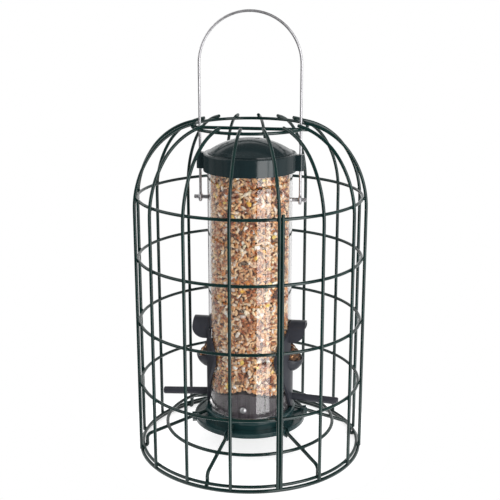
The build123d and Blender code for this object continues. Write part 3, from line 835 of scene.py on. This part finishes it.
@dataclass
class CupSeed:
    """The heap of seed in one port's cup: a ball under a slope from the plate to the lip."""

    node: str
    finish: Material
    seed: int
    layers: int = 2
    tries: int = 130
    lip_drop: float = 2.1 * MM
    core_depth: float = 1.6 * MM
    # near-black colour of the filling: painted shade between the heap's seeds
    core_shade_colour: Colour = (0.05, 0.03, 0.015)
    layer_step: float = 1.3 * MM
    crest_inset: float = 1.4 * MM
    core_inset: float = 0.6 * MM
    bowl_drop: float = 0.3 * MM
    slope_reach: tuple[float, float] = (-0.05, 1.0)
    slope_room: float = 0.8
    slope_tilt: float = 0.45
    flank_turn: float = 0.5 * math.pi
    flank_lift: tuple[float, float] = (-0.25, 1.2)
    flank_tilt: float = 0.25

    def __post_init__(self) -> None:
        """Read the heap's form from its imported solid."""
        low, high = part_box(self.node)
        self.side = 1.0 if high.x > 0 else -1.0
        self.inner, outer = sorted((abs(low.x), abs(high.x)))
        self.bowl = high.y
        height = low.z + self.bowl - self.bowl_drop
        self.centre = Vector((self.side * (outer - self.bowl), 0, height))
        self.crest = Vector((self.side * (self.inner + self.crest_inset), 0, high.z))
        self.lip = Vector((self.side * outer, 0, self.centre.z - self.lip_drop))
        fall = self.lip - self.crest
        self.slope = Vector((-self.side * fall.z, 0, self.side * fall.x)).normalized()

    def build(self) -> None:
        """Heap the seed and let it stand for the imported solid."""
        pile = SeedPile(self.seed)
        pile.core(self._core(), self.core_shade_colour)
        for layer in reversed(range(self.layers)):
            for _ in range(self.tries):
                self._on_slope(pile, layer)
                self._on_flank(pile, layer)
        piece = new_piece(f"{self.node}_grains", pile.finish(), self.finish, Body.FEEDER)
        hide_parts(self.node)

    def _core(self) -> Shape:
        """The filling behind the heap's outer seeds; its near-black colour paints the shade between
        them.
        """
        core = bmesh.new()
        radius = self.bowl - self.core_depth
        bmesh.ops.create_uvsphere(core, u_segments=24, v_segments=16, radius=radius)
        bmesh.ops.translate(core, verts=core.verts, vec=self.centre)
        wall = Vector((self.side * (self.inner + self.core_inset), 0, 0))
        top = self.crest - self.slope * self.core_depth
        cuts = ((top, self.slope), (wall, Vector((-self.side, 0, 0))))
        for place, normal in cuts:
            everything = core.verts[:] + core.edges[:] + core.faces[:]
            bmesh.ops.bisect_plane(
                core, geom=everything, plane_co=place, plane_no=normal, clear_outer=True
            )
            bmesh.ops.holes_fill(core, edges=core.edges)
        return core

    def _on_slope(self, pile: SeedPile, layer: int) -> None:
        """Lay one seed at a random place on the slope, if it stays in the bowl."""
        kind = pile.pick(CUP_MIX)
        place = self.crest.lerp(self.lip, pile.dice.uniform(*self.slope_reach))
        place.y = pile.dice.uniform(-self.bowl, self.bowl)
        place -= self.slope * (kind.thickness + layer * self.layer_step)
        if (place - self.centre).length < self.bowl - kind.length * self.slope_room:
            pile.add(kind, place, self.slope, self.slope_tilt)

    def _on_flank(self, pile: SeedPile, layer: int) -> None:
        """Lay one seed at random on the ball's side, if it is off the plate and under the slope."""
        kind = pile.pick(CUP_MIX)
        around = pile.dice.uniform(-self.flank_turn, self.flank_turn)
        lift = pile.dice.uniform(*self.flank_lift)
        across, level = math.cos(around) * math.cos(lift), math.sin(around) * math.cos(lift)
        outward = Vector((self.side * across, level, math.sin(lift)))
        place = self.centre + outward * (self.bowl - kind.thickness - layer * self.layer_step)
        clear = abs(place.x) > self.inner - self.bowl_drop
        if clear and (place - self.crest).dot(self.slope) < -kind.thickness:
            pile.add(kind, place, outward, self.flank_tilt)


@dataclass
class WeldBeads:
    """The flattened beads where crossing wires are welded."""

    name: str
    body: Body
    finish: Material
    half: Triple = (1.35 * MM, 1.0 * MM, 1.35 * MM)

    def __post_init__(self) -> None:
        """Start with no beads."""
        self.shape = bmesh.new()

    def put(self, centre: Vector, along: Vector) -> None:
        """Set one bead between two wires, with its short side along a direction."""
        turn = along.to_track_quat("Y", "Z").to_matrix().to_4x4()
        place = Matrix.Translation(centre) @ turn @ Matrix.Diagonal((*self.half, 1.0))
        bmesh.ops.create_uvsphere(self.shape, u_segments=10, v_segments=6, radius=1.0, matrix=place)

    def build(self) -> None:
        """Make the beads one piece."""
        new_piece(self.name, self.shape, self.finish, self.body)


def radial(angle: float, radius: float, height: float) -> Vector:
    """Point at an angle in degrees, a radius and a height."""
    turn = math.radians(angle)
    return Vector((radius * math.cos(turn), radius * math.sin(turn), height))


@dataclass
class CageWelds:
    """Weld beads of the cage, where bars cross the hoops and lie on the top ring."""

    finish: Material
    bars: int = 16
    hoops: int = 5
    ring_wire: float = 2.4 * MM
    sunk: float = 0.05 * MM
    bar_end: float = 1.2 * MM

    def build(self) -> None:
        """Set a bead at every crossing."""
        beads = WeldBeads("cage_weld_beads", Body.CAGE, self.finish)
        hoops = [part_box(f"cage_hoop_{number}") for number in range(1, self.hoops + 1)]
        for index in range(self.bars):
            angle = index * 360 / self.bars
            for low, high in hoops:
                outward = radial(angle, 1.0, 0.0)
                beads.put(radial(angle, high.x - self.sunk, (low.z + high.z) / 2), outward)
        ring_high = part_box("cage_top_ring")[1]
        up = Vector((0, 0, 1))
        for index in range(self.bars):
            angle = index * 360 / self.bars
            beads.put(radial(angle, ring_high.x - self.ring_wire / 2, ring_high.z), up)
        bar_low, bar_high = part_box("cage_cross_bar")
        bar_y = (bar_low.y + bar_high.y) / 2
        for side in (-1, 1):
            beads.put(Vector((side * (bar_high.x - self.bar_end), bar_y, bar_high.z)), up)
        beads.build()


@dataclass
class BaseWelds:
    """Weld beads of the base frame: spokes on the base ring and the inner ring on the spokes."""

    finish: Material
    first_spoke: float = -43.0
    spokes: int = 6

    def build(self) -> None:
        """Set a bead at every joint."""
        beads = WeldBeads("base_weld_beads", Body.FEEDER, self.finish)
        ring_low, ring_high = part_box("base_ring")
        inner_low, inner_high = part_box("base_inner_ring")
        wire = ring_high.z - ring_low.z
        inner_wire = inner_high.z - inner_low.z
        toe_height = (ring_low.z + ring_high.z) / 2
        for index in range(self.spokes):
            angle = self.first_spoke + index * 360 / self.spokes
            outward = radial(angle, 1.0, 0.0)
            beads.put(radial(angle, ring_high.x - wire, toe_height), outward)
            beads.put(radial(angle, inner_high.x - inner_wire / 2, inner_low.z), Vector((0, 0, 1)))
        beads.build()


# Studio


@dataclass
class SoftBox:
    """One rectangular studio lamp, aimed at a point."""

    name: str
    place: Vector
    aim: Vector
    width: float
    height: float
    power: float

    def build(self) -> None:
        """Hang the lamp."""
        lamp = bpy.data.lights.new(self.name, "AREA")
        lamp.shape = "RECTANGLE"
        lamp.size, lamp.size_y = self.width, self.height
        lamp.energy = self.power
        holder = bpy.data.objects.new(self.name, lamp)
        holder.location = self.place
        holder.rotation_euler = (self.aim - self.place).to_track_quat("-Z", "Y").to_euler()
        bpy.context.scene.collection.objects.link(holder)


@dataclass
class Studio:
    """The plain pale floor, the soft lamps, the pale world and the camera."""

    floor_radius: float = 0.112
    floor_glow: float = 0.7
    aim_height: float = 0.15
    camera_place: Vector = field(default_factory=lambda: Vector((0.1208, -0.7374, 0.3614)))
    camera_turn: Triple = (math.radians(75.0), 0.0, math.radians(9.3))
    lens: float = 71.8
    sensor: float = 36.0
    nearest: float = 0.01
    world_strength: float = 0.85
    round_about: Stops = (
        (0.0, 1.0), (0.05, 1.0), (0.07, 0.05), (0.18, 0.05), (0.2, 0.25), (0.36, 0.25),
        (0.38, 0.06), (0.69, 0.06), (0.71, 0.5), (0.92, 0.6), (0.95, 1.0), (1.0, 1.0),
    )
    round_above: Stops = (
        (0.0, 1.0), (0.2, 0.9), (0.3, 0.45), (0.38, 0.08), (0.69, 0.08), (0.75, 0.6), (1.0, 1.0),
    )
    eye_line: float = 0.12
    upward: Stops = (
        (0.0, 1.0), (0.37, 1.0), (0.385, 0.1), (0.4, 0.1), (0.415, 0.8), (0.61, 0.7),
        (0.64, 0.05), (0.68, 0.12), (1.0, 0.05),
    )

    def build(self) -> None:
        """Set up the stage, the light and the camera."""
        self._floor()
        self._world()
        self._lamps()
        self._camera()
        scene = bpy.context.scene
        scene.view_settings.view_transform = "Standard"
        log.info("studio ready")

    def _lamps(self) -> None:
        """Three soft boxes: a strong one at the right, and weaker ones at the left and above."""
        aim = Vector((0, 0, self.aim_height))
        right, left = Vector((0.75, -0.71, 0.1)), Vector((-0.96, -0.3, 0.85))
        top = Vector((0.0, -0.1, 1.5))
        SoftBox("right_softbox", right, aim, width=0.74, height=1.6, power=13.4).build()
        SoftBox("left_softbox", left, aim, width=1.0, height=1.2, power=3.6).build()
        SoftBox("top_softbox", top, aim, width=1.4, height=1.4, power=1.2).build()

    def _floor(self) -> None:
        """A pale floor that keeps the object's shadow."""
        shape = bmesh.new()
        bmesh.ops.create_circle(shape, cap_ends=True, segments=96, radius=self.floor_radius)
        mesh = bpy.data.meshes.new("floor")
        shape.to_mesh(mesh)
        shape.free()
        sheet = ShaderSheet("pale_floor")
        sheet.set(Roughness=0.9, Specular_IOR_Level=0.1, Base_Color=(0.6, 0.6, 0.6, 1.0))
        sheet.set(Emission_Color=(1.0, 1.0, 1.0, 1.0))
        sheet.link(where_seen(sheet.tree, 0.0, self.floor_glow), "Emission Strength")
        mesh.materials.append(sheet.material)
        floor = bpy.data.objects.new("floor", mesh)
        bpy.context.scene.collection.objects.link(floor)

    def _world(self) -> None:
        """A pale world: white where it is seen, and a studio's walls in reflections."""
        world = bpy.data.worlds.new("pale_world")
        world.use_nodes = True
        tree = world.node_tree
        background = next(n for n in tree.nodes if n.type == "BACKGROUND")
        direction = tree.nodes.new("ShaderNodeTexCoord").outputs["Generated"]
        split = tree.nodes.new("ShaderNodeSeparateXYZ")
        tree.links.new(direction, split.inputs["Vector"])
        back = calculate(tree, "MULTIPLY", split.outputs["Y"], -1.0)
        bearing = calculate(tree, "ARCTAN2", split.outputs["X"], back)
        circle = (-math.pi, math.pi)
        level = tree.nodes.new("ShaderNodeMapRange")
        level.inputs["From Max"].default_value = self.eye_line
        tree.links.new(split.outputs["Z"], level.inputs["Value"])
        walls = tree.nodes.new("ShaderNodeMix")
        tree.links.new(level.outputs["Result"], walls.inputs["Factor"])
        tree.links.new(self._profile(tree, bearing, circle, self.round_about), walls.inputs["A"])
        tree.links.new(self._profile(tree, bearing, circle, self.round_above), walls.inputs["B"])
        upward = self._profile(tree, split.outputs["Z"], (0.0, 1.0), self.upward)
        room = calculate(tree, "MULTIPLY", walls.outputs["Result"], upward)
        strength = where_seen(tree, self.world_strength, 1.0, room)
        tree.links.new(strength, background.inputs["Strength"])
        background.inputs["Color"].default_value = (1.0, 1.0, 1.0, 1.0)
        bpy.context.scene.world = world

    def _profile(
        self, tree: Tree, source: Socket, span: tuple[float, float], stops: Stops
    ) -> Socket:
        """Brightness of the studio's walls along a source that runs over a span.

        Args:
            tree: The world's node tree.
            source: The value to follow.
            span: Its value at the first and the last stop.
            stops: Place along the span, from 0 to 1, and brightness there.

        Returns:
            The brightness's socket.
        """
        place = tree.nodes.new("ShaderNodeMapRange")
        place.inputs["From Min"].default_value, place.inputs["From Max"].default_value = span
        tree.links.new(source, place.inputs["Value"])
        ramp = tree.nodes.new("ShaderNodeValToRGB")
        elements = ramp.color_ramp.elements
        elements[0].position, elements[1].position = stops[0][0], stops[-1][0]
        for position, _ in stops[1:-1]:
            elements.new(position)
        for element, (_, shade) in zip(elements, stops):
            element.color = (shade, shade, shade, 1.0)
        tree.links.new(place.outputs["Result"], ramp.inputs["Fac"])
        return ramp.outputs["Color"]

    def _camera(self) -> None:
        """The camera at the photograph's viewing angle."""
        data = bpy.data.cameras.new("camera")
        data.lens = self.lens
        data.sensor_width = self.sensor
        data.clip_start = self.nearest
        camera = bpy.data.objects.new("camera", data)
        camera.location = self.camera_place
        camera.rotation_euler = self.camera_turn
        bpy.context.scene.collection.objects.link(camera)
        bpy.context.scene.camera = camera


def main() -> None:
    """Build every sub-assembly in order."""
    logging.basicConfig(level=logging.INFO, format="%(name)s %(message)s")
    powder = PowderCoat().material()
    finishes = {
        Slot.GREEN_WIRE.value: powder,
        Slot.GREEN_PLASTIC.value: GREEN_PLASTIC.material(),
        Slot.DARK_PLASTIC.value: DARK_PLASTIC.material(),
        Slot.GREY_PLASTIC.value: GREY_PLASTIC.material(),
        Slot.CLEAR_PLASTIC.value: ClearPlastic().material(),
        Slot.BRIGHT_STEEL.value: DrawnSteel().material(),
        Slot.SEED.value: SeedSkin("seed_husk").material(),
    }
    PackedNodes(finishes, {"seed_tray": TRAY_PLASTIC.material()}).dress()
    husk = finishes[Slot.SEED.value]
    SeedFill(husk, SeedSkin("striped_seed_husk", striped=True).material()).build()
    CupSeed("seeds_left_cup", husk, 31).build()
    CupSeed("seeds_right_cup", husk, 37).build()
    CageWelds(powder).build()
    BaseWelds(powder).build()
    Studio().build()


if __name__ == "__main__":
    main()
